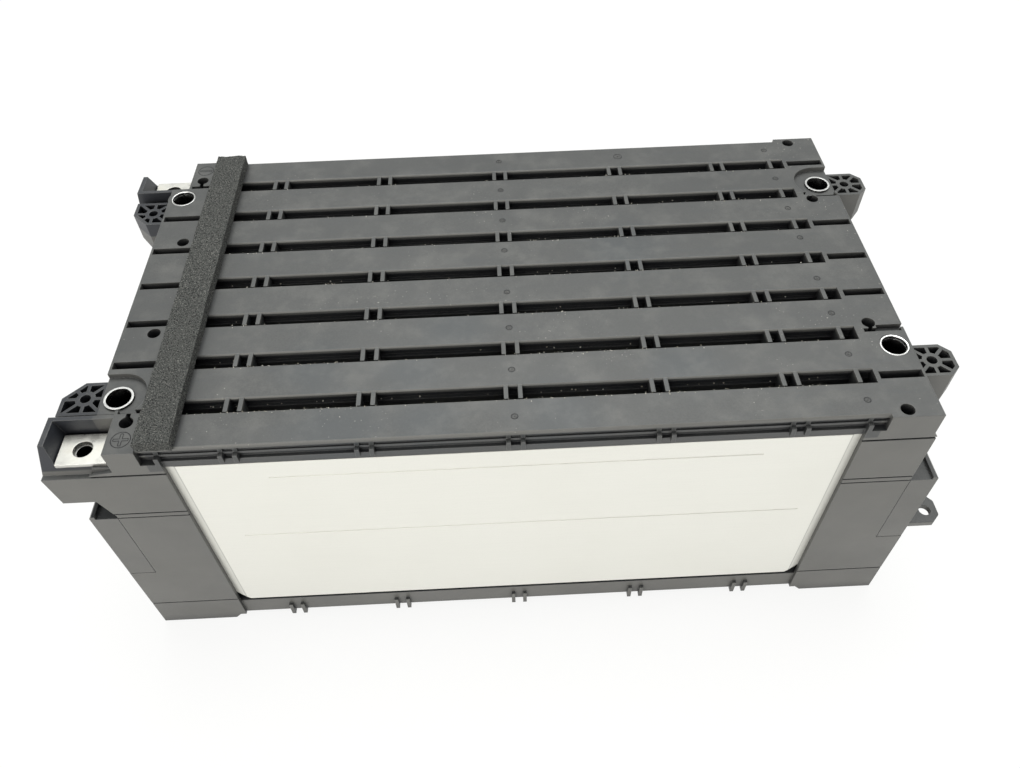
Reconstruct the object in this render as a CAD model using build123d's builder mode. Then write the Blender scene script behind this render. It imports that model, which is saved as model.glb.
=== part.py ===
from build123d import *
import os

# An electric-car battery module: eight moulded cartridges stand one behind the other, each with
# two pouch cells between two pressed aluminium cooling plates. The cells' tabs are welded to
# busbars under a cover at each end, so that the eight pairs are in series, and both terminals
# come out at the left end. Four steel sleeves carry the bolts that fix the module down.
#
# Millimetres, +Z up. Every sketch counts x from the mid-plane of the stack, y from the middle of
# the eight cartridges (front negative), and height from the surface that the module stands on.

os.makedirs("parts", exist_ok=True)

# --- Driving dimensions ------------------------------------------------------------------------
cartridge_count = 8
pitch = 25.6                 # one cartridge, front to rear
half_stack = 100.0           # the first and last cartridges are a little shallower on the outside
height = 151.0               # feet to slat tops
stack_mid_x = -5.4           # the row's origin is under the middle of the box, mounting ear included

# Frame of a cartridge, seen from the front
window_x = 147.0             # half the window that shows the cooling plate
corner_x = 155.2             # the corner blocks start here
top_x = 177.0
terminal_top_x = 168.15      # left end of the first and last, where the terminals start
shoulder_x = 178.7           # above the feet
foot_x = 191.5
foot_top = 53.0
shoulder_top = 136.5
pocket_x = 160.5             # half the pocket that the two cells lie in
pocket_bottom = 15.6
pocket_top = 138.4
pocket_depth = 8.1           # from the cartridge's mid-plane to the inside of its skin

# Rails across the top and the bottom of a cartridge
slat_depth = 9.2             # half a slat, so that a 7.2 mm air slot stays between two
slat_thickness = 2.2
slat_chamfer = 0.6
web_depth = 7.6
ledge_depth = 9.3
outer_inset = 0.6            # how much shallower all of it is on the stack's outer faces
ledge_top = 142.2
inner_ledge_top = 145.2
ledge_bottom = 138.5
core_depth = 5.4             # rails are cored out from inside
bottom_rail = (3.3, 15.6)    # lower and upper edge
bottom_core_depth = 7.0

# Spacer ribs, which keep the air slots open
rib_pairs_x = (-118.7, -62.6, 0.0, 62.6, 118.7)
rib_offset = 3.05
outer_rib_x = 148.0
rib_thickness = 1.9

# Steel sleeves for the mounting bolts, and the lugs beside them
sleeve_outer_r = 6.4
sleeve_inner_r = 5.4
sleeve_top = 149.4
left_sleeve = (-169.5, 68.6)     # x, and distance from the middle of the stack
right_sleeve = (169.5, 59.9)
recess_r = 12.5
recess_depth = 2.6
lug_hub = (186.6, 64.5)
lug_hole_r = 2.35
lug_top = 145.0
lug_bottom = 124.0

# Terminals, at the left end of the first and last cartridge
terminal = (-182.4, 89.0)        # bolt axis: x, and distance from the middle of the stack
pad_top = 141.0
bar_thickness = 2.0
bar_inner_y = 81.0
bar_outer_y = 96.7
nut_across_flats = 13.0
nut_height = 6.5
nut_thread_r = 3.4               # M8, minor radius

# Tabs, busbars and end covers
tab_thickness = 0.3
tab_bottom = 59.0
tab_top = 97.0
busbar_x = 182.0                 # inner face of the busbars
busbar_thickness = 1.5
cover_bottom = 53.0
cover_top = 103.0
cover_wall = 2.2
ear_centre = (203.5, -91.0)
ear_hole_r = 2.9
ear_height = (58.5, 61.5)

# Cells and plates
cell_bottom = 16.5
cell_top = 137.5
plate_bottom = 18.0
plate_thickness = 0.8
plate_depth = 8.9            # from the cartridge's mid-plane to the plate's face

# Foam strip on top
foam_x = (-155.0, -139.0)
foam_y = (-100.0, 98.0)
foam_thickness = 6.0

half_pitch = pitch / 2
first, last = 1, cartridge_count
sleeved = (2, cartridge_count - 1)


# --- Planes and places -------------------------------------------------------------------------
def level(z):
    """Horizontal plane at height z: sketch x is x, sketch y is depth."""
    return Plane(origin=(stack_mid_x, 0, z), x_dir=(1, 0, 0), z_dir=(0, 0, 1))


def across(y):
    """Upright plane at depth y, seen from the front: sketch x is x, sketch y is height."""
    return Plane(origin=(stack_mid_x, y, 0), x_dir=(1, 0, 0), z_dir=(0, -1, 0))


def along(x):
    """Upright plane at x, seen from the right end: sketch x is depth, sketch y is height."""
    return Plane(origin=(stack_mid_x + x, 0, 0), x_dir=(0, 1, 0), z_dir=(1, 0, 0))


def middle(number):
    """Depth of a cartridge's mid-plane. Cartridges are counted from the front."""
    return (number - (cartridge_count + 1) / 2) * pitch


def outward(number):
    """-1 for a cartridge in the front half of the stack, 1 for one in the rear half."""
    return -1 if number <= cartridge_count / 2 else 1


def faces(number):
    """Depths of a cartridge's front and rear faces."""
    y = middle(number)
    return max(y - half_pitch, -half_stack), min(y + half_pitch, half_stack)


def is_outer(number, side):
    """Whether this side of the cartridge is an outer face of the stack."""
    return number == first and side < 0 or number == last and side > 0


def tab_y(number, end):
    """Depth at which a pair's tabs leave the cartridge. Beside a sleeve they step out of its way."""
    shift = {-1: -6.0, 1: 8.0}[end] if number in sleeved else 0.0
    return middle(number) + outward(number) * shift


def outline_face(points):
    """Closed face inside straight lines through points, in the sketch that is being built."""
    with BuildLine() as line:
        Polyline(*points, close=True)
    return make_face(line.edges())


def ribbon(points, width):
    """Outline of a strip that runs along points and is width wide in depth."""
    far = [(x, y + width / 2) for x, y in points]
    near = [(x, y - width / 2) for x, y in reversed(points)]
    return far + near


def block(x_range, y_range, z_range, mode=Mode.ADD):
    """Upright block between two corners, for the part that is being built."""
    with BuildSketch(level(z_range[0])) as base:
        outline_face([(x_range[0], y_range[0]), (x_range[1], y_range[0]),
                      (x_range[1], y_range[1]), (x_range[0], y_range[1])])
    extrude(base.sketch, amount=z_range[1] - z_range[0], mode=mode)


def save(part, name):
    """Labels a finished piece and writes its STEP file."""
    part.label = name
    export_step(part, f"parts/{name}.step")


# --- Cartridge frames --------------------------------------------------------------------------
def post_outline(end, number):
    """Post at one end of a cartridge, seen from the front. end is -1 for left, 1 for right."""
    top = terminal_top_x if end < 0 and number in (first, last) else top_x
    toe = 3.0
    points = [
        (window_x, bottom_rail[0]), (window_x + toe, bottom_rail[0]), (window_x + 2 * toe, 0),
        (foot_x, 0), (foot_x, foot_top), (shoulder_x, foot_top), (shoulder_x, shoulder_top),
        (top, shoulder_top + 2), (top, height), (corner_x, height), (corner_x, ledge_top),
        (window_x, ledge_top),
    ]
    return [(end * x, z) for x, z in points]


def posts(number):
    """Both end posts, as deep as the cartridge."""
    front, rear = faces(number)
    for end in (-1, 1):
        with BuildSketch(across(front)) as post:
            outline_face(post_outline(end, number))
        extrude(post.sketch, amount=front - rear)


def rail_side(number, side):
    """Section of one side of the top rail: depth and height, from the slat's top down."""
    slat_bottom = height - slat_thickness
    if is_outer(number, side):
        inset, shelf = outer_inset, [(7.6, 146.0), (8.6, 146.0), (8.6, 144.8), (7.6, 144.8)]
        top = ledge_top
    else:
        inset, shelf = 0.0, []
        top = inner_ledge_top
    depths = [
        (slat_depth - slat_chamfer, height), (slat_depth, height - slat_chamfer),
        (slat_depth, slat_bottom), (web_depth, slat_bottom), *shelf, (web_depth, top),
        (ledge_depth, top), (ledge_depth, ledge_bottom),
    ]
    return [(middle(number) + side * (depth - inset), z) for depth, z in depths]


def rails(number):
    """Top rail with its slat, web and ledge, and bottom rail, both cored out from inside."""
    y = middle(number)
    core_top = height - slat_thickness - 1.0
    core = [(y - core_depth, ledge_bottom), (y - core_depth, core_top), (y + core_depth, core_top),
            (y + core_depth, ledge_bottom)]
    top_section = core + rail_side(number, 1)[::-1] + rail_side(number, -1)
    front, rear = (rail_side(number, side)[-1][0] for side in (-1, 1))
    low, high = bottom_rail
    floor = high - 2.8
    bottom_section = [
        (front, low), (front, high), (rear, high), (rear, low), (y + bottom_core_depth, low),
        (y + bottom_core_depth, floor), (y - bottom_core_depth, floor), (y - bottom_core_depth, low),
    ]
    for section, reach in ((top_section, corner_x + 0.5), (bottom_section, window_x + 1)):
        with BuildSketch(along(-reach)) as rail:
            outline_face(section)
        extrude(rail.sketch, amount=2 * reach)


def rib_row(places, y_range, z_range):
    """Ribs in a row across the cartridge, each rib_thickness wide."""
    with BuildSketch(level(z_range[0])) as ribs:
        for x in places:
            with Locations((x, sum(y_range) / 2)):
                Rectangle(rib_thickness, y_range[1] - y_range[0])
    extrude(ribs.sketch, amount=z_range[1] - z_range[0])


def spacer_ribs(number):
    """Ribs in front of the rails that reach the cartridge ahead, and stubs on the outer faces."""
    pairs = [x + side * rib_offset for x in rib_pairs_x for side in (-1, 1)]
    all_ribs = pairs + [-outer_rib_x, outer_rib_x]
    y = middle(number)
    if number != first:
        reach = (y - pitch + ledge_depth + 0.1, y - web_depth + 0.2)
        rib_row(all_ribs, reach, (inner_ledge_top - 3.0, height - 0.1))
        rib_row(pairs, (reach[0], y - ledge_depth + 0.2), (1.0, 10.6))
    for side in (-1, 1):
        if is_outer(number, side):
            face = y + side * (slat_depth - outer_inset - slat_chamfer)
            root = y + side * (web_depth - outer_inset - 0.2)
            tip = side * half_stack
            rib_row(all_ribs, sorted((root, face)), (ledge_top - 0.5, height - 1.0))
            rib_row(all_ribs, sorted((root, tip)), (ledge_top - 1.0, 146.0))
            rib_row(pairs, sorted((tip - side * 2.5, tip)), (1.0, 10.6))


def corner_slots(number):
    """Narrow ends of the air slots, cut into the corner blocks where two cartridges meet."""
    front, rear = faces(number)
    for side, boundary in ((-1, front), (1, rear)):
        if is_outer(number, side):
            continue
        inner, outer = sorted((boundary - side * 2.1, boundary + side))
        hooked = sorted((number, number + side))
        by_left_sleeve = hooked in ([first, first + 1], [last - 1, last])
        by_right_sleeve = hooked in ([2, 3], [last - 2, last - 1])
        if not by_right_sleeve:
            block((corner_x + 2, top_x - 1), (inner, outer), (ledge_top, height + 1),
                  mode=Mode.SUBTRACT)
        if not by_left_sleeve:
            block((1 - top_x, -corner_x - 2), (inner, outer), (ledge_top, height + 1),
                  mode=Mode.SUBTRACT)


def seam_grooves(number):
    """Grooves along the outer faces of the first and last cartridge, round both posts."""
    face = outward(number) * half_stack
    for z, groove in ((135.0, 1.2), (106.2, 0.8), (103.1, 0.7), (20.1, 0.8)):
        for end in (-1, 1):
            x_range = sorted((end * window_x, end * (foot_x + 10)))
            block(x_range, sorted((face, face - outward(number) * 0.8)), (z, z + groove),
                  mode=Mode.SUBTRACT)


def clip_slot(end, side):
    """Hook-shaped slot beside a sleeve: a slit at the cartridge's edge, joined to a round hole."""
    if end < 0:
        hole_x, hole_y, edge_y, slit_x = -162.0, side * 83.7, side * 76.8, (-166.9, -157.0)
    else:
        hole_x, hole_y, edge_y, slit_x = 162.4, side * 45.5, side * 51.2, (159.0, 175.8)
    inward = 1 if abs(hole_y) > abs(edge_y) else -1
    slit_far = edge_y + inward * side * 2.2
    locating_hole(hole_x, hole_y)
    block(slit_x, sorted((edge_y - inward * side, slit_far)), (ledge_top, height + 1),
          mode=Mode.SUBTRACT)
    block((hole_x - 1.0, hole_x + 1.0), sorted((slit_far, hole_y)), (ledge_top, height + 1),
          mode=Mode.SUBTRACT)
    if end > 0:
        block((165.0, 180.0), sorted((slit_far, slit_far + inward * side * 1.8)),
              (height - recess_depth, height + 1), mode=Mode.SUBTRACT)


def cell_pocket(number):
    """Pocket for the two cells, and the window on both faces that shows the cooling plates."""
    y = middle(number)
    with BuildSketch(across(y)) as pocket:
        outline_face([(-pocket_x, pocket_bottom), (pocket_x, pocket_bottom),
                      (pocket_x, pocket_top), (-pocket_x, pocket_top)])
    extrude(pocket.sketch, amount=pocket_depth, both=True, mode=Mode.SUBTRACT)
    with BuildSketch(across(y)) as window:
        with Locations((0, (pocket_bottom + ledge_bottom) / 2)):
            Rectangle(2 * window_x, ledge_bottom - pocket_bottom)
    extrude(window.sketch, amount=half_pitch, both=True, mode=Mode.SUBTRACT)


def tab_slots(number):
    """Slots through both posts for the cells' tabs."""
    for end in (-1, 1):
        y_in, y_out = middle(number), tab_y(number, end)
        path = [(end * (pocket_x - 1), y_in), (end * (pocket_x + 1), y_in),
                (end * (pocket_x + 8.5), y_out), (end * (foot_x + 1), y_out)]
        with BuildSketch(level(tab_bottom - 0.5)) as slot:
            outline_face(ribbon(path, 2.4))
        extrude(slot.sketch, amount=tab_top - tab_bottom + 1, mode=Mode.SUBTRACT)


def locating_hole(x, y):
    """Blind round hole in the top of a corner block."""
    with BuildSketch(level(height)) as hole:
        with Locations((x, y)):
            Circle(3.0)
    extrude(hole.sketch, amount=-9.5, mode=Mode.SUBTRACT)


def sleeve_recess(x, y):
    """Shallow recess around a sleeve, open to the end of the module."""
    side_x = x + (20 if x > 0 else -20)
    with BuildSketch(level(height)) as recess:
        with Locations((x, y)):
            Circle(recess_r)
        with Locations(((x + side_x) / 2, y)):
            Rectangle(abs(side_x - x), 2 * recess_r)
    extrude(recess.sketch, amount=-recess_depth, mode=Mode.SUBTRACT)


def sleeve_places():
    """Centres of the four sleeves."""
    return [(x, side * y) for x, y in (left_sleeve, right_sleeve) for side in (-1, 1)]


def lug(end, side):
    """Spoked lug outside the sleeve, with a hub that takes a push-in fixing."""
    hub_x, hub_y = end * lug_hub[0], side * lug_hub[1]
    root_x, tip_x = end * (shoulder_x - 0.5), end * 197.0
    near_y, far_y = side * (lug_hub[1] - 9.2), side * (lug_hub[1] + 9.2)
    with BuildSketch(level(lug_bottom)) as outline:
        outline_face([(root_x, near_y), (tip_x, near_y), (tip_x, far_y), (root_x, far_y)])
        tips = outline.vertices().sort_by(Axis.X, reverse=end > 0)[:2]
        if end > 0:
            chamfer(tips, length=4.5)
        else:
            chamfer(tips.sort_by(lambda corner: abs(corner.Y))[:1], length=8.4)
    extrude(outline.sketch, amount=lug_top - lug_bottom)
    with BuildSketch(level(lug_bottom + 3)) as pockets:
        offset(outline.sketch_local, amount=-1.6, kind=Kind.INTERSECTION)
        with Locations((hub_x, hub_y)):
            Circle(4.3, mode=Mode.SUBTRACT)
        for angle in (0, 45, 90, 135):
            with Locations((hub_x, hub_y)):
                Rectangle(60, 1.5, rotation=angle, mode=Mode.SUBTRACT)
    extrude(pockets.sketch, amount=lug_top - lug_bottom, mode=Mode.SUBTRACT)
    with BuildSketch(across(near_y)) as taper:
        outline_face([(end * 186.0, lug_bottom - 1), (end * 199.0, lug_bottom - 1),
                      (end * 199.0, lug_bottom + 7)])
    extrude(taper.sketch, amount=-side * 25, mode=Mode.SUBTRACT)
    with BuildSketch(level(lug_bottom)) as hole:
        with Locations((hub_x, hub_y)):
            Circle(lug_hole_r)
    extrude(hole.sketch, amount=lug_top - lug_bottom, mode=Mode.SUBTRACT)


def terminal_housing(side):
    """Open-topped housing of one terminal: tall walls at the back and the end, a low one in front."""
    inner_wall_y = side * 77.4
    low_top, floor = 135.0, pad_top - bar_thickness
    body = [(-170.0, 105.0), (-178.7, 105.0), (-183.0, 117.4), (-197.2, 117.4), (-199.2, low_top),
            (-170.0, low_top)]
    with BuildSketch(across(side * half_stack)) as base:
        outline_face(body)
    extrude(base.sketch, amount=side * (half_stack - 77.4))
    walls = [(-160.0, low_top - 1), (-199.1, low_top - 1), (-199.2, low_top), (-197.0, 149.0),
             (-160.0, 149.0)]
    with BuildSketch(across(inner_wall_y)) as tall:
        outline_face(walls)
    extrude(tall.sketch, amount=-side * 20.6)
    with BuildSketch(along(-201.0)) as corner:
        outline_face([(side * 92.0, 150.0), (side * 99.0, 150.0), (side * 99.0, low_top),
                      (side * 97.5, low_top)])
    extrude(corner.sketch, amount=24.0, mode=Mode.SUBTRACT)
    pocket = [(-169.0, floor), (-192.4, floor), (-195.0, 150.0), (-169.0, 150.0)]
    with BuildSketch(across(side * 79.4)) as opening:
        outline_face(pocket)
    extrude(opening.sketch, amount=-side * 21, mode=Mode.SUBTRACT)


def terminal_pocket(side):
    """Hexagonal seat for the captive nut, with room below it for the end of the bolt."""
    floor = pad_top - bar_thickness
    with BuildSketch(level(floor)) as seat:
        with Locations((terminal[0], side * terminal[1])):
            RegularPolygon(nut_across_flats / 2 + 0.1, 6, major_radius=False)
    extrude(seat.sketch, amount=-nut_height - 0.2, mode=Mode.SUBTRACT)
    with BuildSketch(level(floor)) as relief:
        with Locations((terminal[0], side * terminal[1])):
            Circle(4.3)
    extrude(relief.sketch, amount=-18, mode=Mode.SUBTRACT)


def bar_outline(clearance):
    """Terminal bar seen from the front: pad, drop through the post, and weld plate for the tabs."""
    c = clearance
    pad_low, drop_left, drop_right, step_top = pad_top - bar_thickness, -167.5, -165.5, 100.8
    plate_left, plate_right = -busbar_x - busbar_thickness, -busbar_x
    step_low = step_top - bar_thickness
    return [
        (-192.2 - c, pad_low - c), (drop_left - c, pad_low - c), (drop_left - c, step_top + c),
        (plate_left - c, step_top + c), (plate_left - c, tab_bottom - 2 - c),
        (plate_right + c, tab_bottom - 2 - c), (plate_right + c, step_low - c),
        (drop_right + c, step_low - c), (drop_right + c, pad_top + c), (-192.2 - c, pad_top + c),
    ]


def bar_slot(side):
    """Passage for the terminal bar through the post."""
    inner, outer = bar_inner_y - 0.1, bar_outer_y + 0.1
    with BuildSketch(across(side * inner)) as slot:
        outline_face(bar_outline(0.1))
    extrude(slot.sketch, amount=-side * (outer - inner), mode=Mode.SUBTRACT)


def make_cartridge(number):
    y, side = middle(number), outward(number)
    with BuildPart() as cartridge:
        posts(number)
        rails(number)
        spacer_ribs(number)
        if number in sleeved:
            boss_y = side * left_sleeve[1]
            with BuildSketch(level(0)) as boss:
                with Locations((left_sleeve[0], boss_y)):
                    Circle(8.1)
            extrude(boss.sketch, amount=height)
            lug(-1, side)
            lug(1, side)
        if number in (first, last):
            terminal_housing(side)
        cell_pocket(number)
        tab_slots(number)
        corner_slots(number)
        for sleeve_x, sleeve_y in sleeve_places():
            if abs(sleeve_y - y) < half_pitch:
                if sleeve_x * sleeve_y > 0:
                    sleeve_recess(sleeve_x, sleeve_y)
                with BuildSketch(level(0)) as bore:
                    with Locations((sleeve_x, sleeve_y)):
                        Circle(sleeve_outer_r + 0.05)
                extrude(bore.sketch, amount=height, mode=Mode.SUBTRACT)
        if number in (first, last):
            terminal_pocket(side)
            bar_slot(side)
            seam_grooves(number)
            locating_hole(162.6, side * 96.0)
            clip_slot(-1, side)
        if number in (3, 6):
            locating_hole(-162.2, side * 32.0)
            clip_slot(1, side)
    return cartridge.part


for number in range(first, last + 1):
    save(make_cartridge(number), f"cartridge_{number}")


# --- Cooling plates ----------------------------------------------------------------------------
def plate_section(y, facing):
    """Section of a pressed plate: the flange stays behind the frame's lip, the field stands out."""
    flange, field = pocket_depth - 0.05, plate_depth
    half = [(152.0, flange - plate_thickness), (152.0, flange), (146.8, flange), (142.6, field)]
    inner = [(142.4, field - plate_thickness), (146.6, flange - plate_thickness)]
    right = [(x, y + facing * d) for x, d in half]
    left = [(-x, y + facing * d) for x, d in reversed(half)]
    left_in = [(-x, y + facing * d) for x, d in reversed(inner)]
    right_in = [(x, y + facing * d) for x, d in inner]
    return right + left + left_in + right_in


def make_plate(number, facing):
    """Plate on one face of a cartridge, with two shallow pressed creases along it."""
    y = middle(number)
    face_y = y + facing * plate_depth
    corner = 6.0
    with BuildPart() as plate:
        with BuildSketch(level(plate_bottom)):
            outline_face(plate_section(y, facing))
        extrude(amount=pocket_top - plate_bottom)
        with BuildSketch(across(face_y)):
            with Locations((0.5, 127.4)):
                Rectangle(213, 0.8)
            with Locations((2.5, 81.2)):
                Rectangle(261, 0.8)
        extrude(amount=0.25, both=True, mode=Mode.SUBTRACT)
        with BuildSketch(across(y)):
            for end in (-1, 1):
                outline_face([(end * (window_x - corner), plate_bottom - 1),
                              (end * (window_x - corner), plate_bottom),
                              (end * window_x, plate_bottom + corner),
                              (end * 153, plate_bottom + corner), (end * 153, plate_bottom - 1)])
        extrude(amount=2 * pocket_depth, both=True, mode=Mode.SUBTRACT)
    return plate.part


for number in range(first, last + 1):
    save(make_plate(number, -1), f"cooling_plate_{number}_front")
    save(make_plate(number, 1), f"cooling_plate_{number}_rear")


# --- Pouch cells -------------------------------------------------------------------------------
def make_cell(number, half):
    """Pouch cell in one half of a cartridge: swollen body, sealed ends and one tab at each end."""
    y = middle(number)
    seal, cup = y + half * 0.05, y + half * (plate_depth - plate_thickness - 0.1)
    body = [(-159.5, seal), (-159.5, y + half * 1.3), (-147.0, y + half * 1.3), (-142.0, cup),
            (142.0, cup), (147.0, y + half * 1.3), (159.5, y + half * 1.3), (159.5, seal)]
    tab_in = y + half * (0.05 + tab_thickness / 2)
    with BuildPart() as cell:
        with BuildSketch(level(cell_bottom)):
            outline_face(body)
        extrude(amount=cell_top - cell_bottom)
        for end in (-1, 1):
            weld_x = end * (busbar_x + busbar_thickness + 0.05)
            fold_x = weld_x + end * tab_thickness
            tab_out = tab_y(number, end) + half * (0.05 + tab_thickness / 2)
            path = [(end * 159.0, tab_in), (end * 161.5, tab_in), (end * 169.0, tab_out),
                    (fold_x, tab_out)]
            with BuildSketch(level(tab_bottom)):
                outline_face(ribbon(path, tab_thickness))
                outline_face([(weld_x, tab_out), (fold_x, tab_out), (fold_x, tab_out + half * 6),
                              (weld_x, tab_out + half * 6)])
            extrude(amount=tab_top - tab_bottom)
    return cell.part


for number in range(first, last + 1):
    save(make_cell(number, -1), f"cell_{number}_front")
    save(make_cell(number, 1), f"cell_{number}_rear")


# --- Mounting sleeves --------------------------------------------------------------------------
def make_sleeve(x, y):
    """Steel tube through the whole height, so that the bolt doesn't crush the plastic."""
    with BuildPart() as sleeve:
        with BuildSketch(level(0)):
            with Locations((x, y)):
                Circle(sleeve_outer_r)
                Circle(sleeve_inner_r, mode=Mode.SUBTRACT)
        extrude(amount=sleeve_top)
    return sleeve.part


sleeve_names = ("left_front_sleeve", "left_rear_sleeve", "right_front_sleeve", "right_rear_sleeve")
for name, (x, y) in zip(sleeve_names, sleeve_places()):
    save(make_sleeve(x, y), name)


# --- Terminals ---------------------------------------------------------------------------------
def make_terminal_bar(side):
    """Bent bar from the bolted pad to the weld plate, where the tabs pass through a slit."""
    number = first if side < 0 else last
    with BuildPart() as bar:
        with BuildSketch(across(side * bar_inner_y)):
            outline_face(bar_outline(0))
        extrude(amount=-side * (bar_outer_y - bar_inner_y))
        with BuildSketch(level(pad_top)):
            with Locations((terminal[0], side * terminal[1])):
                Circle(4.2)
        extrude(amount=-bar_thickness, mode=Mode.SUBTRACT)
        block((-busbar_x - 3, -busbar_x + 1),
              (tab_y(number, -1) - 0.7, tab_y(number, -1) + 0.7),
              (tab_bottom - 0.5, tab_top + 0.5), mode=Mode.SUBTRACT)
    return bar.part


save(make_terminal_bar(-1), "positive_terminal_bar")
save(make_terminal_bar(1), "negative_terminal_bar")

with BuildPart() as terminal_nuts:
    with BuildSketch(level(pad_top - bar_thickness - nut_height)):
        with Locations((terminal[0], -terminal[1]), (terminal[0], terminal[1])):
            RegularPolygon(nut_across_flats / 2, 6, major_radius=False)
            Circle(nut_thread_r, mode=Mode.SUBTRACT)
    extrude(amount=nut_height)
save(terminal_nuts.part, "terminal_nuts")


# --- Busbars and what carries them -------------------------------------------------------------
def make_busbars(end, joined):
    """Copper plates at one end. Each joins the pairs of two neighbouring cartridges in series."""
    inner_x, outer_x = sorted((end * busbar_x, end * (busbar_x + busbar_thickness)))
    with BuildPart() as busbars:
        for number in joined:
            slits = [tab_y(number, end), tab_y(number + 1, end)]
            block((inner_x, outer_x), (slits[0] - 6.5, slits[1] + 6.5),
                  (tab_bottom - 2, tab_top + 2))
        for number in joined:
            for slit in (tab_y(number, end), tab_y(number + 1, end)):
                block((inner_x - 1, outer_x + 1), (slit - 0.7, slit + 0.7),
                      (tab_bottom - 0.5, tab_top + 0.5), mode=Mode.SUBTRACT)
    return busbars.part


left_joined, right_joined = (2, 4, 6), (1, 3, 5, 7)
save(make_busbars(-1, left_joined), "left_busbars")
save(make_busbars(1, right_joined), "right_busbars")


def make_carrier(end, joined):
    """Moulded plate that the busbars lie on, with a slot for each pair and ribs between busbars."""
    inner_x, outer_x = shoulder_x + 0.3, busbar_x - 0.1
    rib_x = busbar_x + 3.5
    low, high = cover_bottom + cover_wall + 0.3, cover_top - cover_wall - 0.3
    with BuildPart() as carrier:
        block(sorted((end * inner_x, end * outer_x)), (2.5 - half_stack, half_stack - 2.5),
              (low, high))
        for number in range(first, last):
            if number in joined:
                continue
            y = (tab_y(number, end) + tab_y(number + 1, end)) / 2
            block(sorted((end * (outer_x - 1), end * rib_x)), (y - 0.75, y + 0.75), (low, high))
        for number in range(first, last + 1):
            y = tab_y(number, end)
            block(sorted((end * (inner_x - 1), end * rib_x)), (y - 1.0, y + 1.0),
                  (tab_bottom - 1, tab_top + 1), mode=Mode.SUBTRACT)
        if end < 0:
            for side in (-1, 1):
                block((-outer_x - 1, -inner_x + 1),
                      sorted((side * (bar_inner_y - 0.3), side * (bar_outer_y + 0.3))),
                      (98.3, high + 1), mode=Mode.SUBTRACT)
    return carrier.part


save(make_carrier(-1, left_joined), "left_busbar_carrier")
save(make_carrier(1, right_joined), "right_busbar_carrier")


def cover_shell(end):
    """Shell that closes the busbar space, with a low lip along its upper outer edge."""
    inner_x, outer_x = shoulder_x + 0.3, foot_x
    reach = half_stack - 0.1
    bottom = cover_bottom + 0.1
    section = [(inner_x, bottom), (outer_x, bottom), (outer_x, cover_top + 0.8),
               (outer_x - 1, cover_top + 1.8), (outer_x - 2.5, cover_top + 1.8),
               (outer_x - 2.5, cover_top), (inner_x, cover_top)]
    with BuildSketch(across(-reach)) as shell:
        outline_face([(end * x, z) for x, z in section])
    extrude(shell.sketch, amount=-2 * reach)
    block(sorted((end * (inner_x - 1), end * (outer_x - cover_wall))),
          (cover_wall - reach, reach - cover_wall),
          (bottom + cover_wall, cover_top - cover_wall), mode=Mode.SUBTRACT)


with BuildPart() as left_end_cover:
    cover_shell(-1)
    for side in (-1, 1):
        block((-busbar_x, -shoulder_x),
              sorted((side * (bar_inner_y - 0.3), side * (bar_outer_y + 0.3))),
              (98.3, 101.2), mode=Mode.SUBTRACT)
save(left_end_cover.part, "left_end_cover")

socket_y = (40.0, 64.0)
socket_z = (68.0, 84.0)
with BuildPart() as right_end_cover:
    cover_shell(1)
    with BuildSketch(level(ear_height[0])) as ear:
        outline_face([(foot_x - 1, -98.0), (ear_centre[0] + 2, -98.0), (ear_centre[0] + 6, -94.0),
                      (ear_centre[0] + 6, -86.0), (ear_centre[0], -79.0), (foot_x - 1, -74.0)])
        fillet(ear.vertices().group_by(Axis.X)[-1], radius=2)
    extrude(ear.sketch, amount=ear_height[1] - ear_height[0])
    with BuildSketch(level(ear_height[0])) as ear_hole:
        with Locations(ear_centre):
            Circle(ear_hole_r)
    extrude(ear_hole.sketch, amount=ear_height[1] - ear_height[0], mode=Mode.SUBTRACT)
    block((foot_x - cover_wall - 1, foot_x + 1), socket_y, socket_z, mode=Mode.SUBTRACT)
save(right_end_cover.part, "right_end_cover")


# --- Voltage sensing ---------------------------------------------------------------------------
board_x = (186.4, 188.0)
with BuildPart() as sensing_board:
    block(board_x, (10.0, 90.0), (57.0, 99.0))
save(sensing_board.part, "sensing_board")

with BuildPart() as sensing_connector:
    block((board_x[1], 203.0), (socket_y[0] + 0.1, socket_y[1] - 0.1),
          (socket_z[0] + 0.1, socket_z[1] - 0.1))
    block((191.0, 204.0), (socket_y[0] + 1.6, socket_y[1] - 1.6),
          (socket_z[0] + 1.6, socket_z[1] - 1.6), mode=Mode.SUBTRACT)
save(sensing_connector.part, "sensing_connector")


# --- Foam strip --------------------------------------------------------------------------------
with BuildPart() as foam_strip:
    block(foam_x, foam_y, (height, height + foam_thickness))
save(foam_strip.part, "foam_strip")
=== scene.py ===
import math
import random

import bmesh
import bpy
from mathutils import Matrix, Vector, noise


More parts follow.
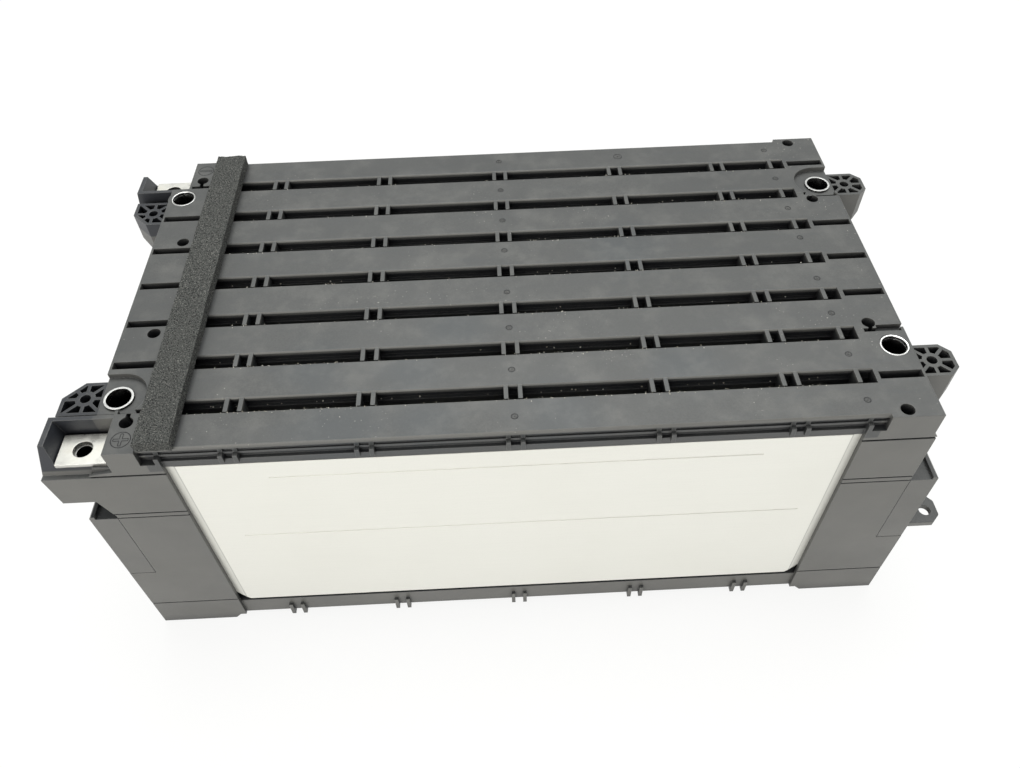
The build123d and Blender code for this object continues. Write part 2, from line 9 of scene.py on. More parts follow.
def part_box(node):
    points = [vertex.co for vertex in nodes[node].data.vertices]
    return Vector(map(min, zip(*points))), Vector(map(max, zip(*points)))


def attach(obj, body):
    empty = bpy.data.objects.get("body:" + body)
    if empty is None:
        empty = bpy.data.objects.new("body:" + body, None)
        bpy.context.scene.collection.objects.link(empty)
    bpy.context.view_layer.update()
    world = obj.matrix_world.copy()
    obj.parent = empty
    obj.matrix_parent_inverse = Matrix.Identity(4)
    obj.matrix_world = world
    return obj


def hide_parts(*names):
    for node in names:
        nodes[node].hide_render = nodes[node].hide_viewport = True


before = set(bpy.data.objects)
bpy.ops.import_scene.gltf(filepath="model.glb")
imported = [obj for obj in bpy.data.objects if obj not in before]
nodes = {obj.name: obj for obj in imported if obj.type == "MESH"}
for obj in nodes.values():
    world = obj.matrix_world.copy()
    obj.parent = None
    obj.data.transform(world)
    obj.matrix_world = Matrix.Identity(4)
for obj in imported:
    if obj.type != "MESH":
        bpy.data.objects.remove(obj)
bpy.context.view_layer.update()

# --- Camera ------------------------------------------------------------------------------------
# A hand-held view from the front, about half way up to overhead, with a wide phone-like lens.
camera_data = bpy.data.cameras.new("camera")
camera_data.lens = 29.66
camera_data.sensor_width = 36.0
camera_data.clip_start = 0.01
camera = bpy.data.objects.new("camera", camera_data)
camera.location = (-0.01199, -0.30622, 0.42508)
camera.rotation_euler = [math.radians(angle) for angle in (40.48, 1.055, -2.578)]
bpy.context.collection.objects.link(camera)
bpy.context.scene.camera = camera

# --- Cartridge frames --------------------------------------------------------------------------
# Eight frames moulded in glass-filled black polyamide, snapped one behind the other. The skin has
# a fine satin texture, soft smudges from handling and dust that settled on top, and painted light
# and shade: highlights on its edges, a paler tone on upright faces, darker creases and housings.
plate_low, plate_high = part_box("cooling_plate_1_front")
mid_x = (plate_low[0] + plate_high[0]) / 2
slat_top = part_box("cartridge_4")[1][2]


def add(tree, kind, **settings):
    """A node of the tree, with its properties and, by socket name, its input values set."""
    made = tree.nodes.new(kind)
    for name, value in settings.items():
        plain = name.replace("_", " ")
        socket = next((s for s in made.inputs if s.name.lower() == plain.lower()), None)
        if socket is not None:
            socket.default_value = value
        else:
            setattr(made, name, value)
    return made


def new_group(name, inputs, outputs):
    """An empty shader node group with named number inputs and named outputs."""
    group = bpy.data.node_groups.new(name, "ShaderNodeTree")
    for socket, value in inputs.items():
        made = group.interface.new_socket(socket, in_out="INPUT", socket_type="NodeSocketFloat")
        made.default_value = value
    for socket, kind in outputs.items():
        group.interface.new_socket(socket, in_out="OUTPUT", socket_type="NodeSocket" + kind)
    return group, group.nodes.new("NodeGroupInput"), group.nodes.new("NodeGroupOutput")


def placed_group(tree, group, **values):
    """The outputs of a shared effect placed in a material, with its own values."""
    made = tree.nodes.new("ShaderNodeGroup")
    made.node_tree = group
    for name, value in values.items():
        made.inputs[name.capitalize()].default_value = value
    return made.outputs


def ramp(tree, source, low, high):
    """A mask that goes from 0 to 1 while source goes from low to high."""
    made = add(tree, "ShaderNodeMapRange", from_min=low, from_max=high, clamp=True)
    made.interpolation_type = "SMOOTHSTEP"
    tree.links.new(source, made.inputs["Value"])
    return made.outputs["Result"]


def spread(tree, source, low, high):
    """Noise, most of which lies between 0.3 and 0.7, spread over the values from low to high."""
    made = add(tree, "ShaderNodeMapRange", from_min=0.3, from_max=0.7, to_min=low, to_max=high)
    tree.links.new(source, made.inputs["Value"])
    return made.outputs["Result"]


def combine(tree, operation, first, second):
    """Two numbers or sockets joined by a maths operation."""
    made = tree.nodes.new("ShaderNodeMath")
    made.operation = operation
    for socket, value in zip(made.inputs, (first, second)):
        if isinstance(value, (int, float)):
            socket.default_value = value
        else:
            tree.links.new(value, socket)
    return made.outputs[0]


def product(tree, first, *others):
    """All the given numbers or sockets multiplied."""
    for other in others:
        first = combine(tree, "MULTIPLY", first, other)
    return first


def split(tree, vector):
    """The X, Y and Z of a vector."""
    made = tree.nodes.new("ShaderNodeSeparateXYZ")
    tree.links.new(vector, made.inputs[0])
    return made.outputs


def blend_colours(tree, mask, first, second):
    """Colour that goes from first to second as mask goes from 0 to 1."""
    made = tree.nodes.new("ShaderNodeMix")
    made.data_type = "RGBA"
    tree.links.new(mask, made.inputs["Factor"])
    for socket, value in zip((made.inputs[6], made.inputs[7]), (first, second)):
        if isinstance(value, tuple):
            socket.default_value = (*value, 1.0)
        else:
            tree.links.new(value, socket)
    return made.outputs[2]


def coated(tree, body, colour, mask, strength):
    """The body's colour with another over it where the mask is, no thicker than strength."""
    return blend_colours(tree, product(tree, mask, strength), body, colour)


def shaded(colour, factors):
    """A colour multiplied by one factor, or by one for each of its parts."""
    if isinstance(factors, float):
        factors = (factors, factors, factors)
    return tuple(part * factor for part, factor in zip(colour, factors))


def noise_at(tree, vector, scale, detail=3.0, roughness=0.5):
    """Noise of the given grains per metre."""
    made = add(tree, "ShaderNodeTexNoise", scale=scale, detail=detail, roughness=roughness)
    tree.links.new(vector, made.inputs["Vector"])
    return made.outputs["Fac"]


def stretched(tree, vector, amounts):
    """Coordinates scaled along each axis, for streaks."""
    made = tree.nodes.new("ShaderNodeMapping")
    made.inputs["Scale"].default_value = amounts
    tree.links.new(vector, made.inputs["Vector"])
    return made.outputs["Vector"]


def new_material(name):
    """A node material with its tree, its shader and the object's coordinates."""
    material = bpy.data.materials.new(name)
    material.use_nodes = True
    tree = material.node_tree
    place = tree.nodes.new("ShaderNodeTexCoord").outputs["Object"]
    return material, tree, tree.nodes["Principled BSDF"], place


def set_relief(tree, shader, height, strength, normal=None):
    """Fine relief on the shader, over the given normal."""
    bump = add(tree, "ShaderNodeBump", strength=strength, distance=1.0)
    tree.links.new(height, bump.inputs["Height"])
    if normal is not None:
        tree.links.new(normal, bump.inputs["Normal"])
    tree.links.new(bump.outputs["Normal"], shader.inputs["Normal"])


# Rounded edges: the shading turns softly over a small radius, and a mask marks the edge itself.
edge_group, edge_in, edge_out = new_group(
    "rounded_edges", {"Radius": 0.0005}, {"Normal": "Vector", "Edge": "Float"})
edge_bevel = edge_group.nodes.new("ShaderNodeBevel")
edge_bevel.samples = 4
edge_group.links.new(edge_in.outputs["Radius"], edge_bevel.inputs["Radius"])
edge_geometry = edge_group.nodes.new("ShaderNodeNewGeometry")
edge_turn = edge_group.nodes.new("ShaderNodeVectorMath")
edge_turn.operation = "DOT_PRODUCT"
edge_group.links.new(edge_bevel.outputs["Normal"], edge_turn.inputs[0])
edge_group.links.new(edge_geometry.outputs["True Normal"], edge_turn.inputs[1])
edge_group.links.new(edge_bevel.outputs["Normal"], edge_out.inputs["Normal"])
turned_away = combine(edge_group, "SUBTRACT", 1.0, edge_turn.outputs["Value"])
edge_group.links.new(ramp(edge_group, turned_away, 0.01, 0.22), edge_out.inputs["Edge"])

# Settled dust: specks in patches and a thin cloudy film, both on faces that look up.
dust_group, dust_in, dust_out = new_group(
    "settled_dust", {"Amount": 1.0}, {"Specks": "Float", "Film": "Float"})
dust_place = dust_group.nodes.new("ShaderNodeTexCoord").outputs["Object"]
dust_normal = split(dust_group, dust_group.nodes.new("ShaderNodeNewGeometry").outputs["Normal"])
facing_up = ramp(dust_group, dust_normal["Z"], 0.35, 0.9)
speck_noise = noise_at(dust_group, dust_place, 900.0, 2.0, 0.6)
speck_patch = noise_at(dust_group, dust_place, 22.0, 3.0, 0.6)
film_noise = noise_at(dust_group, dust_place, 60.0, 5.0, 0.65)
dust_group.links.new(
    product(dust_group, ramp(dust_group, speck_noise, 0.69, 0.73),
            ramp(dust_group, speck_patch, 0.5, 0.68), facing_up, dust_in.outputs["Amount"]),
    dust_out.inputs["Specks"])
dust_group.links.new(
    product(dust_group, ramp(dust_group, film_noise, 0.42, 0.75), facing_up,
            dust_in.outputs["Amount"]),
    dust_out.inputs["Film"])

# Painted shade: how far the surfaces within reach close a place in, to darken creases and bores.
crease_reach = 0.014
crease_group, crease_in, crease_out = new_group(
    "painted_shade_in_creases", {"Reach": crease_reach}, {"Crease_shade": "Float"})
crease_look = crease_group.nodes.new("ShaderNodeAmbientOcclusion")
crease_look.samples = 4
crease_group.links.new(crease_in.outputs["Reach"], crease_look.inputs["Distance"])
crease_group.links.new(
    combine(crease_group, "SUBTRACT", 1.0, crease_look.outputs["AO"]), crease_out.inputs["Crease_shade"])

# Upright light: painted light, a warm paler tone on upright and sloping faces. The rails' band below
# the slats gets none, and the terminal housings and lugs get painted shade from a mask of their own.
rail_half = 0.1525
rail_low, rail_high = 0.138, 0.149
housing_start, housing_low = 0.1775, 0.1365
fade_start, fade_end = housing_start - 0.007, housing_start + 0.012
soft = 0.0005
lit_face_group, lit_face_in, lit_face_out = new_group(
    "painted_upright_light", {"Middle": 0.0}, {"Haze": "Float", "Housing_shade": "Float"})
lit_face_object = lit_face_group.nodes.new("ShaderNodeTexCoord").outputs["Object"]
lit_face_place = split(lit_face_group, lit_face_object)
lit_face_normal = split(lit_face_group, lit_face_group.nodes.new("ShaderNodeNewGeometry").outputs["Normal"])
upright_face = ramp(lit_face_group, combine(lit_face_group, "ABSOLUTE", lit_face_normal["Z"], 0.0), 0.97, 0.75)
towards_end = combine(lit_face_group, "SUBTRACT", lit_face_in.outputs["Middle"], lit_face_place["X"])
off_middle = combine(lit_face_group, "ABSOLUTE", towards_end, 0.0)
rail_band = product(lit_face_group, ramp(lit_face_group, off_middle, rail_half + soft, rail_half),
                    ramp(lit_face_group, lit_face_place["Z"], rail_low - soft, rail_low),
                    ramp(lit_face_group, lit_face_place["Z"], rail_high + soft, rail_high))
below_top = ramp(lit_face_group, lit_face_place["Z"], slat_top - soft, slat_top - 3 * soft)
end_zone = combine(
    lit_face_group, "MAXIMUM",
    ramp(lit_face_group, towards_end, housing_start, housing_start + 2 * soft),
    product(lit_face_group, below_top,
            ramp(lit_face_group, towards_end, fade_start, fade_end)))
housing = product(lit_face_group, end_zone,
                  ramp(lit_face_group, lit_face_place["Z"], housing_low, housing_low + 2 * soft))
lit_face_group.links.new(housing, lit_face_out.inputs["Housing_shade"])
elsewhere = combine(lit_face_group, "SUBTRACT", 1.0,
                    combine(lit_face_group, "MAXIMUM", rail_band, housing))
lit_face_cloud = spread(lit_face_group, noise_at(lit_face_group, lit_face_object, 35.0, 4.0, 0.6), 0.7, 1.0)
lit_face_group.links.new(product(lit_face_group, upright_face, elsewhere, lit_face_cloud),
                     lit_face_out.inputs["Haze"])

# Handling smudges: soft bluish patches on the slats, each with its x, its y and its reach.
smudges = ((-0.092, -0.057, 0.026), (-0.049, -0.064, 0.022), (-0.080, -0.093, 0.036),
           (-0.043, -0.090, 0.022), (0.014, -0.089, 0.028), (-0.030, -0.038, 0.024),
           (0.070, -0.066, 0.026), (0.052, 0.012, 0.030))
smudge_group, smudge_in, smudge_out = new_group(
    "handling_smudges", {"Strength": 1.0}, {"Smudge": "Float"})
smudge_place = smudge_group.nodes.new("ShaderNodeTexCoord").outputs["Object"]
smudge_edge = noise_at(smudge_group, smudge_place, 90.0, 3.0, 0.6)
smudge_mask = 0.0
for smudge_x, smudge_y, reach in smudges:
    away = smudge_group.nodes.new("ShaderNodeVectorMath")
    away.operation = "DISTANCE"
    smudge_group.links.new(smudge_place, away.inputs[0])
    away.inputs[1].default_value = (smudge_x, smudge_y, slat_top)
    ragged = combine(smudge_group, "ADD", away.outputs["Value"],
                     product(smudge_group, smudge_edge, 0.6 * reach))
    patch = ramp(smudge_group, ragged, 1.3 * reach, 0.4 * reach)
    smudge_mask = combine(smudge_group, "MAXIMUM", smudge_mask, patch)
smudge_group.links.new(product(smudge_group, smudge_mask, smudge_in.outputs["Strength"]),
                       smudge_out.inputs["Smudge"])

# Painted light: the warm paler tone of upright faces.
painted_light_colour = (0.142, 0.139, 0.128)
film_colour = (0.36, 0.35, 0.32)
speck_colour = (0.55, 0.53, 0.47)


def moulded_plastic(name, colour, paler, roughness, dust=1.0, haze=0.75):
    """Black moulded plastic: satin grain, handling smudges, settled dust, and painted light and shade.
    """
    material, tree, shader, place = new_material(name)
    blotches = noise_at(tree, stretched(tree, place, (1.0, 1.6, 1.6)), 16.0, 4.0, 0.55)
    streaks = noise_at(tree, stretched(tree, place, (1.0, 9.0, 4.0)), 30.0, 3.0, 0.6)
    speckle = noise_at(tree, place, 1500.0, 2.0, 0.7)
    edges = placed_group(tree, edge_group, radius=0.0006)
    smudge = placed_group(tree, smudge_group, strength=0.6)["Smudge"]
    settled = placed_group(tree, dust_group, amount=dust)
    upright = placed_group(tree, lit_face_group, middle=mid_x)
    crease = placed_group(tree, crease_group, reach=crease_reach)["Crease_shade"]

    body = blend_colours(tree, ramp(tree, blotches, 0.35, 0.68), colour, paler)
    body = coated(tree, body, shaded(colour, (0.86, 0.96, 1.12)),
                  ramp(tree, streaks, 0.5, 0.75), 0.55)
    body = blend_colours(tree, product(tree, ramp(tree, speckle, 0.3, 0.7), 0.5),
                         shaded(colour, 0.86), body)
    body = blend_colours(tree, smudge, body, shaded(colour, (0.72, 0.81, 0.90)))
    # Painted light: upright and sloping faces paler and warmer.
    body = coated(tree, body, painted_light_colour, upright["Haze"], haze)
    # Painted shade: the terminal housings and lugs darker and bluish.
    body = coated(tree, body, shaded(colour, (0.26, 0.29, 0.42)), upright["Housing_shade"], 0.75)
    # Painted highlight: paler along the rounded edges.
    body = coated(tree, body, shaded(paler, 2.3), edges["Edge"], 0.65)
    body = coated(tree, body, film_colour, settled["Film"], 0.10)
    body = coated(tree, body, speck_colour, settled["Specks"], 0.6)
    # Painted shade: bluish dark in creases, slots and other sheltered places.
    body = coated(tree, body, shaded(colour, (0.10, 0.11, 0.15)),
                  ramp(tree, crease, 0.30, 0.78), 0.92)
    tree.links.new(body, shader.inputs["Base Color"])
    tree.links.new(spread(tree, blotches, roughness - 0.07, roughness + 0.08),
                   shader.inputs["Roughness"])
    grain = product(tree, noise_at(tree, place, 2600.0, 2.0, 0.6), 0.00006)
    waves = product(tree, noise_at(tree, place, 70.0, 2.0, 0.5), 0.00012)
    set_relief(tree, shader, combine(tree, "ADD", grain, waves), 0.55, edges["Normal"])
    return material


def finish_node(name, material):
    """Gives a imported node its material, in every slot that it has."""
    for slot in nodes[name].material_slots:
        slot.material = material


frame_plastic = moulded_plastic("frame_plastic", (0.061, 0.063, 0.063), (0.086, 0.087, 0.084), 0.44)
for number in range(1, 9):
    finish_node(f"cartridge_{number}", frame_plastic)

# --- Cooling plates ----------------------------------------------------------------------------
# Sixteen pressed sheets of aluminium, one on each face of a cartridge, with a flange at each end
# that is held behind the window's lip. The rolled skin is pale and matte, with fine lines.
fold_x = 0.1426


def rolled_aluminium(name, colour, darker, roughness):
    """Matte rolled sheet: fine lines along it, rubbed patches, and a darker strip past each fold,
    painted shade.
    """
    material, tree, shader, place = new_material(name)
    shader.inputs["Metallic"].default_value = 0.6
    lines = noise_at(tree, stretched(tree, place, (2.0, 60.0, 160.0)), 12.0, 4.0, 0.65)
    patches = noise_at(tree, place, 14.0, 4.0, 0.55)
    grain = noise_at(tree, place, 1300.0, 2.0, 0.7)
    off_centre = combine(tree, "ABSOLUTE",
                         combine(tree, "SUBTRACT", split(tree, place)["X"], mid_x), 0.0)
    strip = ramp(tree, off_centre, fold_x - 0.0001, fold_x + 0.0002)
    fold_shade = product(tree, strip, ramp(tree, off_centre, fold_x + 0.0008, fold_x + 0.0004))

    body = coated(tree, colour, darker, ramp(tree, lines, 0.35, 0.75), 0.45)
    body = coated(tree, body, shaded(colour, 0.95), ramp(tree, patches, 0.5, 0.75), 0.3)
    body = coated(tree, body, shaded(colour, 0.93), ramp(tree, grain, 0.5, 0.75), 0.5)
    # Painted shade: the sloping flank past each fold darker, and a darker line in the fold.
    body = coated(tree, body, shaded(colour, 0.80), strip, 0.45)
    body = coated(tree, body, shaded(colour, 0.50), fold_shade, 0.55)
    tree.links.new(body, shader.inputs["Base Color"])
    tree.links.new(spread(tree, patches, roughness - 0.06, roughness + 0.08),
                   shader.inputs["Roughness"])
    set_relief(tree, shader, product(tree, lines, 0.00004), 0.35,
               placed_group(tree, edge_group, radius=0.0003)["Normal"])
    return material


plate_aluminium = rolled_aluminium("plate_aluminium", (0.79, 0.785, 0.735), (0.75, 0.745, 0.70), 0.5)
for number in range(1, 9):
    for face in ("front", "rear"):
        finish_node(f"cooling_plate_{number}_{face}", plate_aluminium)

# --- Pouch cells -------------------------------------------------------------------------------
# Two in each cartridge, in embossed laminate foil, between the plates. Their tabs run out through
# the frames' ends to the busbars, so nothing shows them once the module is built.
cell_foil = rolled_aluminium("cell_foil", (0.60, 0.62, 0.64), (0.54, 0.56, 0.58), 0.35)
for number in range(1, 9):
    for half in ("front", "rear"):
        finish_node(f"cell_{number}_{half}", cell_foil)

# --- Mounting sleeves --------------------------------------------------------------------------
# Zinc-plated steel tubes pressed into the frames, for the bolts that hold the module down. The two
# that stand outside the round recesses end in a turned rim level with the slats.
rim_profile = ((0.00545, -0.0017), (0.00545, -0.00025), (0.0056, -0.00002), (0.00615, 0.00002),
               (0.00636, -0.0002), (0.00636, -0.0017))


def bright_metal(name, colour, darker, roughness, grain=900.0):
    """Plated metal with fine turning marks and a few dull spots, painted black as shade where it is
    closed in.
    """
    material, tree, shader, place = new_material(name)
    shader.inputs["Metallic"].default_value = 1.0
    dull = noise_at(tree, place, 180.0, 4.0, 0.6)
    fine = noise_at(tree, stretched(tree, place, (1.0, 1.0, 3.0)), grain, 2.0, 0.6)
    crease = placed_group(tree, crease_group, reach=crease_reach)["Crease_shade"]
    body = blend_colours(tree, ramp(tree, dull, 0.42, 0.72), colour, darker)
    # Painted shade: black where the surfaces close it in, as in bores.
    body = blend_colours(tree, ramp(tree, crease, 0.42, 0.72), body, (0.012, 0.012, 0.013))
    tree.links.new(body, shader.inputs["Base Color"])
    tree.links.new(spread(tree, dull, roughness - 0.08, roughness + 0.12),
                   shader.inputs["Roughness"])
    set_relief(tree, shader, product(tree, fine, 0.00005), 0.3,
               placed_group(tree, edge_group, radius=0.0003)["Normal"])
    return material


def add_turned(bm, centre, profile, turns=32):
    """A ring turned about the upright line through centre, from a closed profile of (r, z)."""
    angles = [2 * math.pi * turn / turns for turn in range(turns)]
    circles = []
    for r, z in profile:
        circles.append([bm.verts.new((centre[0] + r * math.cos(angle),
                                      centre[1] + r * math.sin(angle), centre[2] + z))
                        for angle in angles])
    for inner, outer in zip(circles, circles[1:] + circles[:1]):
        for turn in range(turns):
            after = (turn + 1) % turns
            bm.faces.new([inner[turn], outer[turn], outer[after], inner[after]])


def new_piece(name, bm, material):
    """A new visible object of one material, from a finished bmesh."""
    mesh = bpy.data.meshes.new(name)
    bm.to_mesh(mesh)
    bm.free()
    mesh.materials.append(material)
    piece = bpy.data.objects.new(name, mesh)
    bpy.context.collection.objects.link(piece)
    return piece


sleeve_zinc = bright_metal("sleeve_zinc", (0.83, 0.83, 0.82), (0.62, 0.62, 0.61), 0.28)
for end in ("left", "right"):
    for side in ("front", "rear"):
        finish_node(f"{end}_{side}_sleeve", sleeve_zinc)

rim_bm = bmesh.new()
for sleeve in ("left_rear_sleeve", "right_front_sleeve"):
    low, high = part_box(sleeve)
    add_turned(rim_bm, ((low[0] + high[0]) / 2, (low[1] + high[1]) / 2, slat_top), rim_profile, 64)
bmesh.ops.recalc_face_normals(rim_bm, faces=rim_bm.faces)
rims = new_piece("sleeve_rims", rim_bm, sleeve_zinc)
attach(rims, "root")

# --- Terminals ---------------------------------------------------------------------------------
# Bent tin-plated bars with a drilled pad at the top, welded to the first and last cells' tabs. A
# steel nut is held in the housing below each pad.
tin_plate = bright_metal("tin_plate", (0.86, 0.85, 0.80), (0.74, 0.72, 0.66), 0.34, grain=500.0)
for sign in ("positive", "negative"):
    finish_node(f"{sign}_terminal_bar", tin_plate)
nut_steel = bright_metal("nut_steel", (0.56, 0.56, 0.55), (0.42, 0.42, 0.41), 0.38)
finish_node("terminal_nuts", nut_steel)

# --- Busbars and carriers ----------------------------------------------------------------------
# Tin-plated copper plates that join the cells' tabs in series. They lie on a moulded carrier at
# each end of the stack, and the end covers hide them.
for end in ("left", "right"):
    finish_node(f"{end}_busbars", tin_plate)
    finish_node(f"{end}_busbar_carrier", frame_plastic)

# --- End covers --------------------------------------------------------------------------------
# Moulded shells in the same plastic as the frames, a touch smoother, clipped over each end. The
# right one carries the flat ear and the opening for the monitoring socket.
cover_plastic = moulded_plastic("cover_plastic", (0.054, 0.056, 0.058), (0.072, 0.073, 0.073), 0.40)
for end in ("left", "right"):
    finish_node(f"{end}_end_cover", cover_plastic)

# --- Cell monitoring ---------------------------------------------------------------------------
# A circuit board with green solder mask behind the right end cover, and a black moulded header on
# it that stands out through the cover.
board_mask = moulded_plastic("board_mask", (0.02, 0.10, 0.05), (0.03, 0.13, 0.06), 0.35,
                             dust=0.0, haze=0.0)
finish_node("sensing_board", board_mask)
header_plastic = moulded_plastic("header_plastic", (0.03, 0.03, 0.03), (0.04, 0.04, 0.04), 0.45,
                                 haze=0.2)
finish_node("sensing_connector", header_plastic)

# --- Foam strip --------------------------------------------------------------------------------
# A hand-cut strip of charcoal open-cell foam, stuck across the slats near the terminal end. Its
# pores are modelled, its cut ends are ragged, and it is a little thicker at the rear.
foam_low, foam_high = (Vector(corner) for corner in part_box("foam_strip"))
foam_size = foam_high - foam_low
foam_step = 0.00045
pores_per_metre = 1150.0
cut_end = 0.004
counts = [max(2, round(length / foam_step)) for length in foam_size]


def foam_point(fraction):
    """A point of the strip's skin: wavy cut sides, thinner front, and small open pores."""
    x, y, z = fraction
    point = Vector((foam_low.x + x * foam_size.x, foam_low.y + y * foam_size.y, foam_low.z))
    drawn_in = 0.0003 * (1.1 - noise.noise(Vector((0.0, point.y * 45.0, 3.0))))
    point.x += (0.5 - x) * 2.0 * drawn_in
    thickness = foam_size.z * (0.86 + 0.12 * y)
    thickness += 0.00018 * noise.noise(Vector((point.x * 90.0, point.y * 40.0, 7.0)))
    point.z += z * thickness
    if y < cut_end or y > 1.0 - cut_end:
        ragged = 1.0 + noise.noise(Vector((point.x * 260.0, y * 9.0, point.z * 260.0)))
        point.y += 0.0006 * ragged * (1.0 - 2.0 * y)
    pore = max(0.0, 0.46 - noise.voronoi(point * pores_per_metre)[0][0]) * 0.0008
    fine = 0.00010 * noise.noise(point * 2300.0)
    inward = Vector((0.5 - x if x in (0.0, 1.0) else 0.0,
                     0.5 - y if y in (0.0, 1.0) else 0.0,
                     -0.5 if z == 1.0 else 0.0))
    if inward.length > 0.0:
        point += inward.normalized() * (pore + 0.00012 + fine)
    point.z = min(point.z, foam_high.z)
    return point


foam_bm = bmesh.new()
skin_points = {}


def skin_vertex(key):
    """The vertex at a place of the strip's grid, made once."""
    if key not in skin_points:
        fraction = [step / count for step, count in zip(key, counts)]
        skin_points[key] = foam_bm.verts.new(foam_point(fraction))
    return skin_points[key]


for axis in range(3):
    across, along = (axis + 1) % 3, (axis + 2) % 3
    for end in (0, counts[axis]):
        for row in range(counts[across]):
            for column in range(counts[along]):
                corners = []
                for row_step, column_step in ((0, 0), (1, 0), (1, 1), (0, 1)):
                    key = [end, end, end]
                    key[across] = row + row_step
                    key[along] = column + column_step
                    corners.append(skin_vertex(tuple(key)))
                foam_bm.faces.new(corners if end else corners[::-1])

foam_material, foam_tree, foam_shader, foam_place = new_material("charcoal_foam")
foam_shader.inputs["Roughness"].default_value = 0.95
foam_shader.inputs["Specular IOR Level"].default_value = 0.2
foam_cells = add(foam_tree, "ShaderNodeTexVoronoi", scale=pores_per_metre)
foam_tree.links.new(foam_place, foam_cells.inputs["Vector"])
cell_walls = ramp(foam_tree, foam_cells.outputs["Distance"], 0.15, 0.55)
foam_speckle = noise_at(foam_tree, foam_place, 2100.0, 3.0, 0.75)
# Painted shade: near black in the pores' middles, paler on the cell walls.
foam_colour = blend_colours(foam_tree, cell_walls, (0.006, 0.006, 0.007), (0.052, 0.054, 0.052))
foam_colour = coated(foam_tree, foam_colour, (0.27, 0.27, 0.25),
                     ramp(foam_tree, foam_speckle, 0.52, 0.66), 0.75)
foam_tree.links.new(foam_colour, foam_shader.inputs["Base Color"])
set_relief(foam_tree, foam_shader, product(foam_tree, foam_speckle, 0.0003), 0.8)

foam = new_piece("foam_strip_porous", foam_bm, foam_material)
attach(foam, "root")
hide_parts("foam_strip")

# --- Moulded marks -----------------------------------------------------------------------------
# Small round marks that the mould's ejector pins left along the slats, and the plain polarity
# signs at the two terminals. They are low relief in the frames' own plastic; the dark of their
# grooves is painted shade, thin near-black rings and strokes laid on the face.
relief_bm = bmesh.new()
groove_shade_bm = bmesh.new()


def add_ring(centre, radius, width, rise, bm):
    """A low rounded ring on the face at centre."""
    add_turned(bm, centre, [(radius - width, 0.0), (radius - 0.6 * width, rise),
                            (radius + 0.6 * width, rise), (radius + width, 0.0)])


def add_stroke(start, end, width, rise, bm):
    """A low raised stroke with sloping sides."""
    side = Vector((start.y - end.y, end.x - start.x, 0)).normalized() * width
    low = [start - side, end - side, end + side, start + side]
    high = [p.lerp((start + end) / 2, 0.12) + Vector((0, 0, rise)) for p in low]
    low = [bm.verts.new(p) for p in low]
    high = [bm.verts.new(p) for p in high]
    bm.faces.new(high)
    bm.faces.new(list(reversed(low)))
    for i in range(4):
        bm.faces.new([low[i], low[(i + 1) % 4], high[(i + 1) % 4], high[i]])


mark_depths = (0.0150, 0.0385, 0.0640, 0.0900)
marks = [(x, side * depth, 0.0014) for side in (-1, 1) for depth in mark_depths
         for x in (0.0, 0.1477)]
marks.append((0.066, 0.090, 0.0022))
for x, y, radius in marks:
    centre = (mid_x + x, y, slat_top)
    # Painted shade: a near-black ring for each mark's groove.
    add_ring(centre, radius, 0.00020, 0.00005, groove_shade_bm)
    add_ring(centre, 0.7 * radius, 0.00012, 0.00010, relief_bm)
    add_ring(centre, 0.18 * radius, 0.00018, 0.00024, relief_bm)

sign_x, sign_y, sign_radius = -0.162, 0.0927, 0.0040
arm, half_arm = 0.0031, 0.00055
plus_outline = [(half_arm, half_arm), (half_arm, arm), (-half_arm, arm), (-half_arm, half_arm),
                (-arm, half_arm), (-arm, -half_arm), (-half_arm, -half_arm), (-half_arm, -arm),
                (half_arm, -arm), (half_arm, -half_arm), (arm, -half_arm), (arm, half_arm)]
minus_outline = [(-arm, -half_arm), (arm, -half_arm), (arm, half_arm), (-arm, half_arm)]
for side, outline in ((-1, plus_outline), (1, minus_outline)):
    centre = Vector((mid_x + sign_x, side * sign_y, slat_top))
    # Painted shade: the sign's ring and outline, near black.
    add_ring(centre, sign_radius, 0.00022, 0.00008, groove_shade_bm)
    points = [centre + Vector((x, y, 0)) for x, y in outline]
    for start, end in zip(points, points[1:] + points[:1]):
        add_stroke(start, end, 0.00016, 0.00008, groove_shade_bm)

# A near-black plastic for the painted shade in the marks' grooves.
groove_shade_plastic = moulded_plastic("groove_shade_plastic", (0.016, 0.017, 0.019), (0.022, 0.023, 0.025), 0.5,
                                 dust=0.0, haze=0.0)
for mark in (new_piece("moulded_marks", relief_bm, frame_plastic),
             new_piece("mark_groove_shade", groove_shade_bm, groove_shade_plastic)):
    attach(mark, "root")

